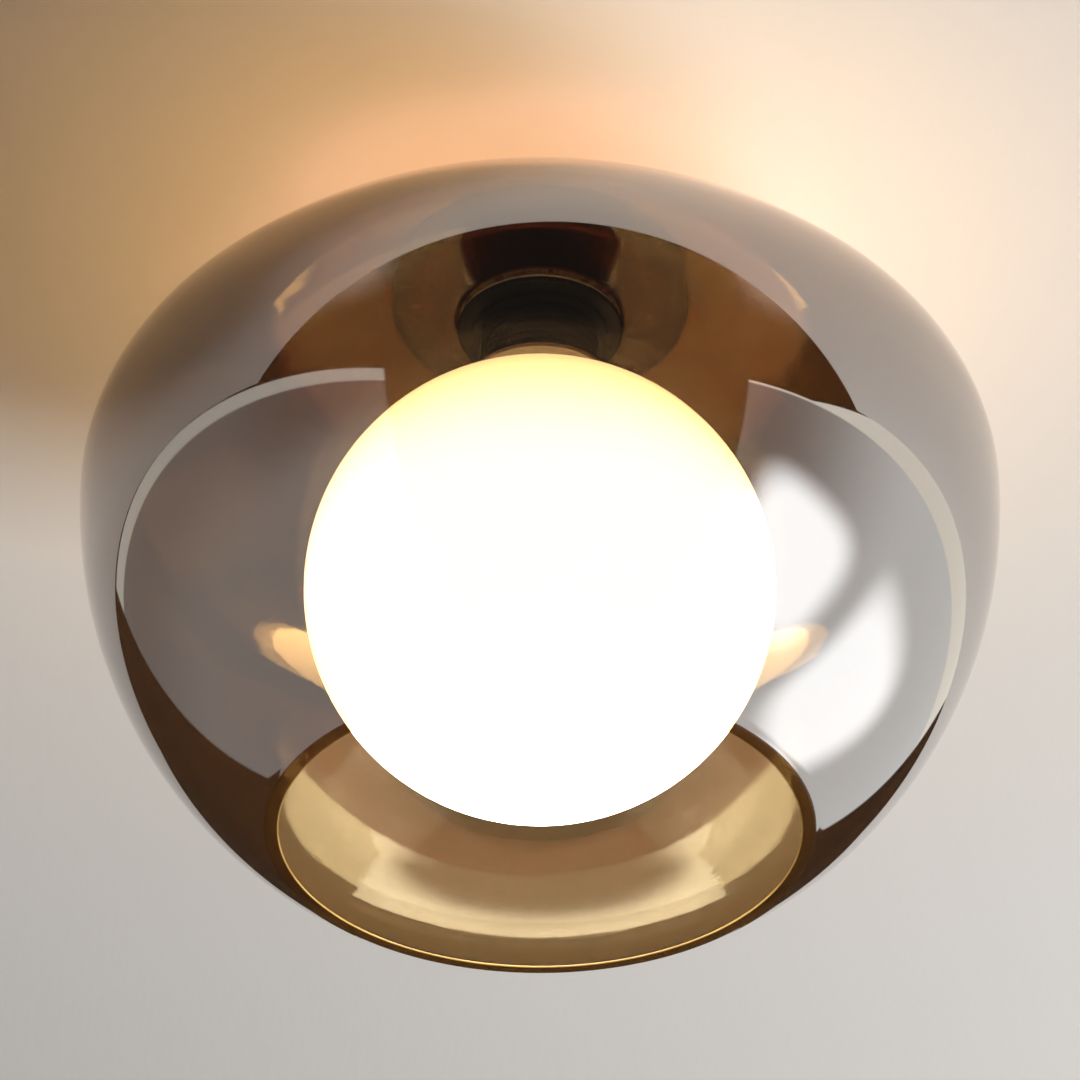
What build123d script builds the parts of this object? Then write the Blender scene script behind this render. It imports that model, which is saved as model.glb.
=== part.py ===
# Ceiling light: a wide smoked glass shade round an opal globe, hung from a small canopy.
# Millimetres, +Z up, origin on the ceiling face at the lamp's axis. The lamp hangs below it.
import os
from math import asin, atan2, degrees, sqrt

from build123d import *

# Glass shade: three tangent arcs, from the rim through the equator to a flat land at the top
shade_radius = 150.0
shade_rim_radius = 85.5
shade_lower_height = 125.0  # rim to equator
shade_upper_height = 80.0  # equator to land
shade_shoulder_radius = 47.0
shade_land_radius = 32.0
shade_wall = 2.5
shade_rim_break = 0.6

# Opal globe with a short neck
globe_radius = 76.3
globe_wall = 2.5
globe_neck_radius = 25.0
globe_neck_height = 8.6
globe_neck_fillet = 3.0

# Canopy cup against the ceiling
canopy_radius = 50.0
canopy_height = 16.0
canopy_wall = 1.0
canopy_corner = 4.0

# Mounting plate inside the canopy
plate_radius = 45.0
plate_thickness = 1.5
cable_hole_radius = 23.0
slot_spacing = 70.0
slot_width = 5.0
slot_length = 12.0
ear_width = 16.0
ear_height = 12.5
ear_tab = 5.0  # bent end of the plate before the ear
ear_bend = 1.0  # inside radius of the bend
ear_gap = 0.4  # ear corners to canopy wall
ear_boss_radius = 3.6
ear_boss_length = 3.0

# Two thumb screws through the canopy wall
side_screw_drop = 8.0  # below the ceiling
side_screw_radius = 2.0
side_screw_length = 9.5
side_head_radius = 4.2
side_head_height = 2.4
side_head_break = 0.5
side_washer_radius = 4.7
side_washer_thickness = 0.6
side_washer_stand = 0.1  # off the curved wall
screw_clearance = 0.3

# Lampholder for a 27 mm screw cap, threaded outside along its skirt
holder_radius = 19.5
holder_wall = 2.2
holder_flange_radius = 23.5
holder_flange_thickness = 2.0
holder_skirt_drop = 37.0  # below the canopy
holder_cap_height = 5.0
holder_cap_edge = 2.0
holder_cap_hole_radius = 6.5
holder_ledge_drop = 12.0  # contact base seat, below the canopy floor
holder_ledge_width = 2.2
holder_ledge_thickness = 2.0
thread_clearance = 0.4
hole_clearance = 0.4

# Contacts in the lampholder
base_thickness = 6.0
base_clearance = 0.2
shell_radius = 14.0
shell_wall = 0.6
shell_length = 21.0
shell_rim = 0.8
spring_span = 14.0
spring_width = 6.0
spring_sag = 1.9
spring_thickness = 0.5
post_spacing = 8.0
post_radius = 2.8
post_height = 6.0
post_screw_radius = 1.2
post_screw_head_radius = 2.0
post_screw_head_height = 1.4

# Ring on the lampholder thread, and the soft rings either side of the glass
ring_radius = 28.0
ring_hub_radius = 23.0
ring_flange_thickness = 2.5
ring_height = 4.5
ring_edge = 0.8
ring_notches = 24
ring_notch_radius = 1.1
gasket_thickness = 1.0
gasket_play = 1.5  # thread to glass hole

# Threaded collar cemented into the neck of the globe
collar_flange_thickness = 2.0
collar_rise = 5.0  # flange seat above the skirt's end
cement_gap = 0.25
collar_lip_radius = 18.4
collar_lip_thickness = 2.0
globe_washer_thickness = 1.6

# Tubular lamp with a 27 mm screw cap
lamp_gap = 0.3  # contact tip to spring
lamp_tip_radius = 4.6
lamp_tip_height = 1.6
lamp_insulator_radius = 11.0
lamp_insulator_height = 3.0
lamp_cap_radius = 13.0
lamp_cap_wall = 0.5
lamp_cap_height = 21.0
lamp_spigot_depth = 4.0
lamp_neck_radius = 14.2
lamp_body_radius = 17.0
lamp_body_height = 18.0
lamp_tube_height = 55.0
lamp_tube_wall = 1.2
lamp_fit = 0.1

# Three-pole terminal block under the plate
block_width = 32.0
block_depth = 17.0
block_height = 10.5
block_offset = 33.0  # lamp axis to block centre
block_edge = 1.2
pole_pitch = 10.0
pole_drop = 4.4  # pole axis below the plate
pole_radius = 2.3
pole_bore_radius = 1.5
pole_length = 15.0
pole_fit = 0.1
pole_screw_radius = 1.4
pole_screw_spacing = 8.0
pole_screw_reach = 0.8  # screw end below the pole axis
pole_screw_inset = 0.8  # screw head inside its well
fixing_radius = 1.2
fixing_head_radius = 2.2
fixing_head_height = 1.4

# Earth terminal on the plate
earth_offset = 33.0  # lamp axis to screw
earth_screw_radius = 2.0
earth_head_radius = 3.6
earth_head_height = 2.4
earth_washer_radius = 4.4
earth_washer_thickness = 0.8
lug_radius = 4.0
lug_thickness = 0.8
lug_barrel_radius = 1.9
lug_barrel_length = 6.0

# Insulated wires inside the canopy
wire_radius = 1.0
wire_fit = 0.15
wire_grip = 4.0  # length held in a terminal

# Levels, from the ceiling down
canopy_floor = -canopy_height
canopy_inside = canopy_floor + canopy_wall
flange_top = canopy_inside + holder_flange_thickness
shade_top = canopy_floor - gasket_thickness
shade_equator = shade_top - shade_upper_height
shade_rim = shade_equator - shade_lower_height
roof_level = shade_top - shade_wall
shade_ring_top = roof_level - gasket_thickness
skirt_end = canopy_floor - holder_skirt_drop
collar_seat = skirt_end + collar_rise
globe_centre = collar_seat - globe_neck_height - sqrt(globe_radius**2 - globe_neck_radius**2)
ledge_top = canopy_floor - holder_ledge_drop
lamp_tip = ledge_top - spring_sag - lamp_gap
plate_under = -plate_thickness
pole_level = plate_under - pole_drop

# Radii shared by pieces that fit together
holder_bore = holder_radius - holder_wall
thread_bore = holder_radius + thread_clearance
glass_hole = holder_radius + gasket_play
canopy_bore = canopy_radius - canopy_wall
ear_reach = sqrt(canopy_bore**2 - (ear_width / 2) ** 2) - ear_gap
block_inner_face = block_offset - block_depth / 2

os.makedirs("parts", exist_ok=True)


def finish(piece, name):
    piece.part.label = name
    export_step(piece.part, f"parts/{name}.step")


def ring_profile(inner, outer, low, high):
    # half section of a plain ring, for a revolve about the lamp's axis
    with Locations(((inner + outer) / 2, (low + high) / 2)):
        Rectangle(outer - inner, high - low)


# Mounting plate: a pressed disc with two slots, a cable hole and two tapped ears bent down
with BuildPart() as mounting_plate:
    with BuildSketch(Plane.XY.offset(plate_under)):
        Circle(plate_radius)
        Circle(cable_hole_radius, mode=Mode.SUBTRACT)
        with GridLocations(slot_spacing, 0, 2, 1):
            SlotOverall(slot_length, slot_width, mode=Mode.SUBTRACT)
        with Locations((0, -earth_offset)):
            Circle(earth_screw_radius, mode=Mode.SUBTRACT)
        with Locations((0, block_offset)):
            with GridLocations(pole_pitch, 0, 2, 1):
                Circle(fixing_radius, mode=Mode.SUBTRACT)
    extrude(amount=plate_thickness)
    with BuildSketch(Plane.XZ) as ear_section:
        with BuildLine():
            Polyline(
                (ear_reach - ear_tab, 0),
                (ear_reach, 0),
                (ear_reach, -ear_height),
                (ear_reach - plate_thickness, -ear_height),
                (ear_reach - plate_thickness, plate_under),
                (ear_reach - ear_tab, plate_under),
                close=True,
            )
        make_face()
        outside = ear_section.vertices().sort_by_distance((ear_reach, 0))[0]
        fillet(outside, ear_bend + plate_thickness)
        inside = ear_section.vertices().sort_by_distance((ear_reach - plate_thickness, plate_under))[0]
        fillet(inside, ear_bend)
    extrude(amount=ear_width / 2, both=True)
    with BuildSketch(Plane.YZ.offset(ear_reach - plate_thickness)):
        with Locations((0, -side_screw_drop)):
            Circle(ear_boss_radius)
    extrude(amount=-ear_boss_length)
    with BuildSketch(Plane.YZ.offset(ear_reach)):
        with Locations((0, -side_screw_drop)):
            Circle(side_screw_radius + screw_clearance)
    extrude(amount=-(plate_thickness + ear_boss_length), mode=Mode.SUBTRACT)
    split(bisect_by=Plane.YZ, keep=Keep.TOP)
    mirror(about=Plane.YZ)
finish(mounting_plate, "mounting_plate")

# Canopy: a drawn cup with a rounded corner, a hole for the lampholder and two side holes
with BuildPart() as canopy:
    with BuildSketch(Plane.XZ) as canopy_section:
        with BuildLine():
            Polyline(
                (holder_radius + hole_clearance, canopy_floor),
                (canopy_radius, canopy_floor),
                (canopy_radius, 0),
                (canopy_bore, 0),
                (canopy_bore, canopy_inside),
                (holder_radius + hole_clearance, canopy_inside),
                close=True,
            )
        make_face()
        outside = canopy_section.vertices().sort_by_distance((canopy_radius, canopy_floor))[0]
        fillet(outside, canopy_corner)
        inside = canopy_section.vertices().sort_by_distance((canopy_bore, canopy_inside))[0]
        fillet(inside, canopy_corner - canopy_wall)
    revolve(axis=Axis.Z)
    with BuildSketch(Plane.YZ):
        with Locations((0, -side_screw_drop)):
            Circle(side_screw_radius + screw_clearance)
    extrude(amount=canopy_radius, both=True, mode=Mode.SUBTRACT)
finish(canopy, "canopy")

# Thumb screws and their washers, one pair on each side of the canopy
washer_face = canopy_radius + side_washer_stand
head_face = washer_face + side_washer_thickness
for side, outward in (("right", 1), ("left", -1)):
    across = Plane(origin=(0, 0, -side_screw_drop), x_dir=(0, 1, 0), z_dir=(outward, 0, 0))
    with BuildPart() as side_washer:
        with BuildSketch(across.offset(washer_face)):
            Circle(side_washer_radius)
            Circle(side_screw_radius + screw_clearance, mode=Mode.SUBTRACT)
        extrude(amount=side_washer_thickness)
    finish(side_washer, f"canopy_washer_{side}")

    with BuildPart() as side_screw:
        with BuildSketch(across.offset(head_face)):
            Circle(side_head_radius)
        extrude(amount=side_head_height)
        outer_face = side_screw.faces().filter_by(Axis.X).sort_by(Axis.X)[-1 if outward > 0 else 0]
        fillet(outer_face.edges(), side_head_break)
        with BuildSketch(across.offset(head_face)):
            Circle(side_screw_radius)
        extrude(amount=-side_screw_length)
    finish(side_screw, f"canopy_screw_{side}")

# Earth screw, washer and crimped lug under the plate
lug_face = plate_under - lug_thickness
washer_level = lug_face - earth_washer_thickness
barrel_level = plate_under - lug_barrel_radius
barrel_start = -earth_offset + earth_washer_radius + hole_clearance
with BuildPart() as earth_lug:
    with BuildSketch(Plane.XY.offset(lug_face)):
        with Locations((0, -earth_offset)):
            Circle(lug_radius)
        with Locations((0, (barrel_start + lug_barrel_length / 2 - earth_offset) / 2)):
            Rectangle(2 * lug_barrel_radius, barrel_start + lug_barrel_length / 2 + earth_offset)
        with Locations((0, -earth_offset)):
            Circle(earth_screw_radius + hole_clearance, mode=Mode.SUBTRACT)
    extrude(amount=lug_thickness)
    with BuildSketch(Plane.XZ.offset(-barrel_start)):
        with Locations((0, barrel_level)):
            Circle(lug_barrel_radius)
    extrude(amount=-lug_barrel_length)
    with BuildSketch(Plane.XZ.offset(-barrel_start - lug_thickness)):
        with Locations((0, barrel_level)):
            Circle(wire_radius + wire_fit)
    extrude(amount=-lug_barrel_length, mode=Mode.SUBTRACT)
finish(earth_lug, "earth_lug")

with BuildPart() as earth_washer:
    with BuildSketch(Plane.XY.offset(washer_level)):
        with Locations((0, -earth_offset)):
            Circle(earth_washer_radius)
            Circle(earth_screw_radius + hole_clearance, mode=Mode.SUBTRACT)
    extrude(amount=earth_washer_thickness)
finish(earth_washer, "earth_washer")

with BuildPart() as earth_screw:
    with BuildSketch(Plane.XY.offset(washer_level - earth_head_height)):
        with Locations((0, -earth_offset)):
            Circle(earth_head_radius)
    extrude(amount=earth_head_height)
    fillet(earth_screw.faces().sort_by(Axis.Z)[0].edges(), earth_head_height / 3)
    with BuildSketch(Plane.XY.offset(washer_level)):
        with Locations((0, -earth_offset)):
            Circle(earth_screw_radius)
    extrude(amount=-washer_level)
finish(earth_screw, "earth_screw")

# Terminal block: a moulded body with three brass poles, six clamp screws and two fixing screws
block_under = plate_under - block_height
pole_places = [(place * pole_pitch, block_offset) for place in (-1, 0, 1)]
clamp_places = [(x, y + end * pole_screw_spacing / 2) for x, y in pole_places for end in (-1, 1)]
with BuildPart() as terminal_block:
    with BuildSketch(Plane.XY.offset(block_under)) as block_plan:
        with Locations((0, block_offset)):
            Rectangle(block_width, block_depth)
        fillet(block_plan.vertices(), block_edge)
    extrude(amount=block_height)
    with BuildSketch(Plane.XZ.offset(-block_inner_face)):
        with Locations(*[(x, pole_level) for x, y in pole_places]):
            Circle(pole_radius + pole_fit)
    extrude(amount=-block_depth, mode=Mode.SUBTRACT)
    with BuildSketch(Plane.XY.offset(block_under)):
        with Locations(*clamp_places):
            Circle(pole_screw_radius + pole_fit)
    extrude(amount=block_height - pole_drop, mode=Mode.SUBTRACT)
    with BuildSketch(Plane.XY.offset(block_under)):
        with Locations((0, block_offset)):
            with GridLocations(pole_pitch, 0, 2, 1):
                Circle(fixing_radius)
    extrude(amount=block_height, mode=Mode.SUBTRACT)
finish(terminal_block, "terminal_block")

with BuildPart() as terminal_poles:
    with BuildSketch(Plane.XZ.offset(-block_offset - pole_length / 2)):
        with Locations(*[(x, pole_level) for x, y in pole_places]):
            Circle(pole_radius)
            Circle(pole_bore_radius, mode=Mode.SUBTRACT)
    extrude(amount=pole_length)
    with BuildSketch(Plane.XY.offset(pole_level)):
        with Locations(*clamp_places):
            Circle(pole_screw_radius + pole_fit)
    extrude(amount=-pole_drop, mode=Mode.SUBTRACT)
finish(terminal_poles, "terminal_poles")

with BuildPart() as clamp_screws:
    with BuildSketch(Plane.XY.offset(block_under + pole_screw_inset)):
        with Locations(*clamp_places):
            Circle(pole_screw_radius)
    extrude(amount=block_height - pole_drop - pole_screw_inset - pole_screw_reach - wire_radius)
finish(clamp_screws, "clamp_screws")

with BuildPart() as block_screws:
    with BuildSketch(Plane.XY.offset(block_under)):
        with Locations((0, block_offset)):
            with GridLocations(pole_pitch, 0, 2, 1):
                Circle(fixing_radius)
    extrude(amount=block_height + plate_thickness)
    with BuildSketch(Plane.XY.offset(block_under - fixing_head_height)):
        with Locations((0, block_offset)):
            with GridLocations(pole_pitch, 0, 2, 1):
                Circle(fixing_head_radius)
    extrude(amount=fixing_head_height)
finish(block_screws, "block_screws")

# Lampholder skirt: a flanged tube whose flange rests inside the canopy, with a ledge for the contacts
ledge_radius = holder_bore - holder_ledge_width
with BuildPart() as lampholder_skirt:
    with BuildSketch(Plane.XZ):
        ring_profile(holder_bore, holder_radius, skirt_end, flange_top)
        ring_profile(holder_bore, holder_flange_radius, canopy_inside, flange_top)
        ring_profile(ledge_radius, holder_radius, ledge_top - holder_ledge_thickness, ledge_top)
    revolve(axis=Axis.Z)
finish(lampholder_skirt, "lampholder_skirt")

# Lampholder cap: a dome over the terminals, with a hole for the wires
cap_top = flange_top + holder_cap_height
with BuildPart() as lampholder_cap:
    with BuildSketch(Plane.XZ) as cap_section:
        ring_profile(0, holder_radius, flange_top, cap_top)
        corner = cap_section.vertices().sort_by_distance((holder_radius, cap_top))[0]
        fillet(corner, holder_cap_edge)
        with Locations((holder_bore / 2, (flange_top + cap_top - holder_wall) / 2)):
            Rectangle(holder_bore, holder_cap_height - holder_wall, mode=Mode.SUBTRACT)
        with Locations((holder_cap_hole_radius / 2, cap_top)):
            Rectangle(holder_cap_hole_radius, 2 * holder_wall, mode=Mode.SUBTRACT)
    revolve(axis=Axis.Z)
finish(lampholder_cap, "lampholder_cap")

# Ceramic contact base on the ledge, with the screw shell, the spring contact and two wire posts
base_radius = holder_bore - base_clearance
base_top = ledge_top + base_thickness
with BuildPart() as contact_base:
    with BuildSketch(Plane.XY.offset(ledge_top)):
        Circle(base_radius)
    extrude(amount=base_thickness)
    chamfer(contact_base.faces().sort_by(Axis.Z)[-1].edges(), shell_rim)
finish(contact_base, "contact_base")

shell_bore = shell_radius - shell_wall
with BuildPart() as screw_shell:
    with BuildSketch(Plane.XZ):
        ring_profile(shell_bore, shell_radius, ledge_top - shell_length, ledge_top)
        ring_profile(spring_span / 2 + shell_rim, shell_radius, ledge_top - shell_rim, ledge_top)
    revolve(axis=Axis.Z)
finish(screw_shell, "screw_shell")

with BuildPart() as spring_contact:
    with BuildSketch(Plane.XZ):
        with BuildLine():
            half = spring_span / 2
            Line((-half, ledge_top), (-half + spring_thickness, ledge_top))
            ThreePointArc(
                (-half + spring_thickness, ledge_top),
                (0, ledge_top - spring_sag + spring_thickness),
                (half - spring_thickness, ledge_top),
            )
            Line((half - spring_thickness, ledge_top), (half, ledge_top))
            ThreePointArc((half, ledge_top), (0, ledge_top - spring_sag), (-half, ledge_top))
        make_face()
    extrude(amount=spring_width / 2, both=True)
finish(spring_contact, "spring_contact")

post_top = base_top + post_height
post_screw_level = base_top + post_height / 2
with BuildPart() as wire_posts:
    with BuildSketch(Plane.XY.offset(base_top)):
        with GridLocations(post_spacing, 0, 2, 1):
            Circle(post_radius)
    extrude(amount=post_height)
    with BuildSketch(Plane.XY.offset(post_top)):
        with GridLocations(post_spacing, 0, 2, 1):
            Circle(wire_radius + wire_fit)
    extrude(amount=-wire_grip, mode=Mode.SUBTRACT)
    with BuildSketch(Plane.XZ):
        with Locations(*[(place * post_spacing / 2, post_screw_level) for place in (-1, 1)]):
            Circle(post_screw_radius)
    extrude(amount=post_radius, mode=Mode.SUBTRACT)
finish(wire_posts, "wire_posts")

with BuildPart() as post_screws:
    with BuildSketch(Plane.XZ.offset(post_radius + post_screw_head_height)):
        with Locations(*[(place * post_spacing / 2, post_screw_level) for place in (-1, 1)]):
            Circle(post_screw_head_radius)
    extrude(amount=-post_screw_head_height)
    with BuildSketch(Plane.XZ.offset(post_radius)):
        with Locations(*[(place * post_spacing / 2, post_screw_level) for place in (-1, 1)]):
            Circle(post_screw_radius)
    extrude(amount=-(post_radius - wire_radius - wire_fit))
finish(post_screws, "post_screws")

# Wires: live and neutral from the block over the cap and down to the posts, earth across to its lug
pole_end = block_offset - pole_length / 2
wire_start = pole_end + wire_grip
for name, side in (("live_wire", -1), ("neutral_wire", 1)):
    drop_x = side * post_spacing / 2
    with BuildPart() as supply_wire:
        with BuildLine() as route:
            FilletPolyline(
                (side * pole_pitch, wire_start, pole_level),
                (side * pole_pitch, pole_end - 4 * wire_radius, pole_level),
                (drop_x, pole_end / 3, pole_level),
                (drop_x, 0, pole_level),
                (drop_x, 0, post_top - wire_grip),
                radius=[6 * wire_radius, 6 * wire_radius, 4 * wire_radius],
            )
        with BuildSketch(Plane(origin=route.line @ 0, z_dir=route.line % 0)):
            Circle(wire_radius)
        sweep()
    finish(supply_wire, name)

lug_end = barrel_start + lug_barrel_length
with BuildPart() as earth_wire:
    with BuildLine() as route:
        FilletPolyline(
            (0, wire_start, pole_level),
            (0, pole_end - 4 * wire_radius, pole_level),
            (0, lug_end + 4 * wire_radius, barrel_level),
            (0, barrel_start + lug_thickness, barrel_level),
            radius=10 * wire_radius,
        )
    with BuildSketch(Plane(origin=route.line @ 0, z_dir=route.line % 0)):
        Circle(wire_radius)
    sweep()
finish(earth_wire, "earth_wire")

# Shade ring: a hub on the lampholder thread and a notched flange under the glass
flange_under = shade_ring_top - ring_flange_thickness
with BuildPart() as shade_ring:
    with BuildSketch(Plane.XZ):
        ring_profile(thread_bore, ring_hub_radius, shade_ring_top - ring_height, shade_ring_top)
        ring_profile(thread_bore, ring_radius, flange_under, shade_ring_top)
    revolve(axis=Axis.Z)
    fillet(shade_ring.edges().filter_by(GeomType.CIRCLE).group_by(SortBy.RADIUS)[-1], ring_edge)
    with BuildSketch(Plane.XY.offset(flange_under)):
        with PolarLocations(ring_radius + ring_notch_radius / 2, ring_notches):
            Circle(ring_notch_radius)
    extrude(amount=ring_flange_thickness, mode=Mode.SUBTRACT)
finish(shade_ring, "shade_ring")

# Soft rings above and below the glass
for name, low in (("upper_gasket", shade_top), ("lower_gasket", shade_ring_top)):
    with BuildPart() as gasket:
        with BuildSketch(Plane.XZ):
            ring_profile(glass_hole, ring_radius - ring_edge, low, low + gasket_thickness)
        revolve(axis=Axis.Z)
    finish(gasket, name)

# Shade arcs: the lower arc is upright at the equator, the crown is level where it meets the land
rim_inset = shade_radius - shade_rim_radius
lower_radius = (rim_inset**2 + shade_lower_height**2) / (2 * rim_inset)
shoulder_reach = shade_radius - shade_shoulder_radius - shade_land_radius
crown_radius = (shoulder_reach**2 + shade_upper_height**2 - shade_shoulder_radius**2) / (
    2 * (shade_upper_height - shade_shoulder_radius)
)
lower_centre = (shade_radius - lower_radius, shade_equator)
shoulder_centre = (shade_radius - shade_shoulder_radius, shade_equator)
crown_centre = (shade_land_radius, shade_top - crown_radius)
crown_start = degrees(atan2(shoulder_centre[1] - crown_centre[1], shoulder_centre[0] - crown_centre[0]))


def shade_face(inset):
    # one face of the wall, from the rim up to the hole
    rim_angle = degrees(asin(shade_lower_height / (lower_radius - inset)))
    lower = CenterArc(lower_centre, lower_radius - inset, -rim_angle, rim_angle)
    CenterArc(shoulder_centre, shade_shoulder_radius - inset, 0, crown_start)
    CenterArc(crown_centre, crown_radius - inset, crown_start, 90 - crown_start)
    land = Line((shade_land_radius, shade_top - inset), (glass_hole, shade_top - inset))
    return lower @ 0, land @ 1


with BuildPart() as shade:
    with BuildSketch(Plane.XZ):
        with BuildLine():
            outer_rim, outer_hole = shade_face(0)
            inner_rim, inner_hole = shade_face(shade_wall)
            Line(outer_rim, inner_rim)
            Line(outer_hole, inner_hole)
        make_face()
    revolve(axis=Axis.Z)
    fillet(shade.edges().filter_by(GeomType.CIRCLE).group_by(Axis.Z)[0], shade_rim_break)
finish(shade, "shade")

# Globe: a blown sphere drawn up into a short neck
globe_bore = globe_radius - globe_wall
neck_bore = globe_neck_radius - globe_wall


def globe_face(radius, neck):
    # one face of the wall, from the bottom of the sphere to the top of the neck
    meeting = sqrt(radius**2 - neck**2)
    turn = degrees(atan2(meeting, neck))
    ball = CenterArc((0, globe_centre), radius, -90, 90 + turn)
    side = Line((neck, globe_centre + meeting), (neck, collar_seat))
    return ball @ 0, side @ 1


with BuildPart() as globe:
    with BuildSketch(Plane.XZ) as globe_section:
        with BuildLine():
            outer_low, outer_high = globe_face(globe_radius, globe_neck_radius)
            inner_low, inner_high = globe_face(globe_bore, neck_bore)
            Line(outer_low, inner_low)
            Line(outer_high, inner_high)
        make_face()
        for radius, neck, bend in (
            (globe_radius, globe_neck_radius, globe_neck_fillet),
            (globe_bore, neck_bore, globe_neck_fillet + globe_wall),
        ):
            corner = (neck, globe_centre + sqrt(radius**2 - neck**2))
            fillet(globe_section.vertices().sort_by_distance(corner)[0], bend)
    revolve(axis=Axis.Z)
finish(globe, "globe")

# Collar: screws onto the lampholder skirt, its flange on the neck and its lip under the skirt's end
lip_top = skirt_end - globe_washer_thickness
lip_under = lip_top - collar_lip_thickness
collar_radius = neck_bore - cement_gap
with BuildPart() as globe_collar:
    with BuildSketch(Plane.XZ):
        ring_profile(thread_bore, collar_radius, lip_under, collar_seat)
        ring_profile(thread_bore, globe_neck_radius, collar_seat, collar_seat + collar_flange_thickness)
        ring_profile(collar_lip_radius, collar_radius, lip_under, lip_top)
    revolve(axis=Axis.Z)
    rims = globe_collar.edges().filter_by(GeomType.CIRCLE).group_by(SortBy.RADIUS)[-1]
    chamfer(rims.sort_by(Axis.Z)[-1], collar_flange_thickness / 3)
finish(globe_collar, "globe_collar")

with BuildPart() as globe_washer:
    with BuildSketch(Plane.XZ):
        ring_profile(collar_lip_radius, holder_radius, lip_top, skirt_end)
    revolve(axis=Axis.Z)
finish(globe_washer, "globe_washer")

# Lamp: contact tip, insulator, screw cap, body and frosted tube, stacked down the axis
insulator_top = lamp_tip - lamp_tip_height
cap_shoulder = insulator_top - lamp_insulator_height
cap_end = cap_shoulder - lamp_cap_height
tube_top = cap_end - lamp_body_height
tube_end = tube_top - lamp_tube_height
with BuildPart() as lamp_tip_contact:
    with BuildSketch(Plane.XY.offset(insulator_top)):
        Circle(lamp_tip_radius)
    extrude(amount=lamp_tip_height)
    fillet(lamp_tip_contact.faces().sort_by(Axis.Z)[-1].edges(), lamp_tip_height / 2)
finish(lamp_tip_contact, "lamp_tip_contact")

with BuildPart() as lamp_insulator:
    with BuildSketch(Plane.XY.offset(cap_shoulder)):
        Circle(lamp_insulator_radius)
    with BuildSketch(Plane.XY.offset(insulator_top)):
        Circle(lamp_tip_radius)
    loft()
finish(lamp_insulator, "lamp_insulator")

cap_bore = lamp_cap_radius - lamp_cap_wall
with BuildPart() as lamp_cap:
    with BuildSketch(Plane.XZ):
        ring_profile(cap_bore, lamp_cap_radius, cap_end, cap_shoulder)
        ring_profile(lamp_tip_radius, lamp_cap_radius, cap_shoulder - lamp_cap_wall, cap_shoulder)
    revolve(axis=Axis.Z)
    rims = lamp_cap.edges().filter_by(GeomType.CIRCLE).group_by(Axis.Z)[-1].sort_by(SortBy.RADIUS)
    chamfer(rims[-1], (lamp_cap_radius - lamp_insulator_radius) / 4)
finish(lamp_cap, "lamp_cap")

with BuildPart() as lamp_body:
    with BuildSketch(Plane.XZ):
        with BuildLine():
            Polyline(
                (0, cap_end + lamp_spigot_depth),
                (cap_bore - lamp_fit, cap_end + lamp_spigot_depth),
                (cap_bore - lamp_fit, cap_end),
                (lamp_neck_radius, cap_end),
            )
            flare = Spline(
                (lamp_neck_radius, cap_end),
                (lamp_body_radius, tube_top),
                tangents=((0, -1), (0, -1)),
            )
            Polyline(flare @ 1, (0, tube_top), (0, cap_end + lamp_spigot_depth))
        make_face()
    revolve(axis=Axis.Z)
finish(lamp_body, "lamp_body")

dome_centre = tube_end + lamp_body_radius
tube_bore = lamp_body_radius - lamp_tube_wall
with BuildPart() as lamp_tube:
    with BuildSketch(Plane.XZ):
        with BuildLine():
            Line((tube_bore, tube_top), (lamp_body_radius, tube_top))
            Line((lamp_body_radius, tube_top), (lamp_body_radius, dome_centre))
            CenterArc((0, dome_centre), lamp_body_radius, -90, 90)
            Line((0, tube_end), (0, tube_end + lamp_tube_wall))
            CenterArc((0, dome_centre), tube_bore, -90, 90)
            Line((tube_bore, dome_centre), (tube_bore, tube_top))
        make_face()
    revolve(axis=Axis.Z)
finish(lamp_tube, "lamp_tube")
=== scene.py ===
from math import atan2, cos, degrees, hypot, pi, radians, sin, sqrt

import bmesh
import bpy
from mathutils import Matrix, Vector


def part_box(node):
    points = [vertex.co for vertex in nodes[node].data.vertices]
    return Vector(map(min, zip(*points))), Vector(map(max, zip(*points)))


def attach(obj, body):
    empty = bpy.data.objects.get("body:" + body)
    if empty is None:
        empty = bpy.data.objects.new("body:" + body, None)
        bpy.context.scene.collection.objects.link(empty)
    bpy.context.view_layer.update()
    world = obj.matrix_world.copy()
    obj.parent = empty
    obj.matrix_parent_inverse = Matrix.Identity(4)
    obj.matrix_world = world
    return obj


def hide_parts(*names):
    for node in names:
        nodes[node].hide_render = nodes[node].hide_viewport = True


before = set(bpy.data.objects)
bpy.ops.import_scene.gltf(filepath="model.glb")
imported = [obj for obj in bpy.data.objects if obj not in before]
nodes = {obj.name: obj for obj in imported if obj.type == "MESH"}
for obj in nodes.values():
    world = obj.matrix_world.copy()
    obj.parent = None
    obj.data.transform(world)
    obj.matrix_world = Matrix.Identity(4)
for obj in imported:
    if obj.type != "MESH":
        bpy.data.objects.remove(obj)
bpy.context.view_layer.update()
print("frame:", len(nodes), "CAD nodes")


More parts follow.
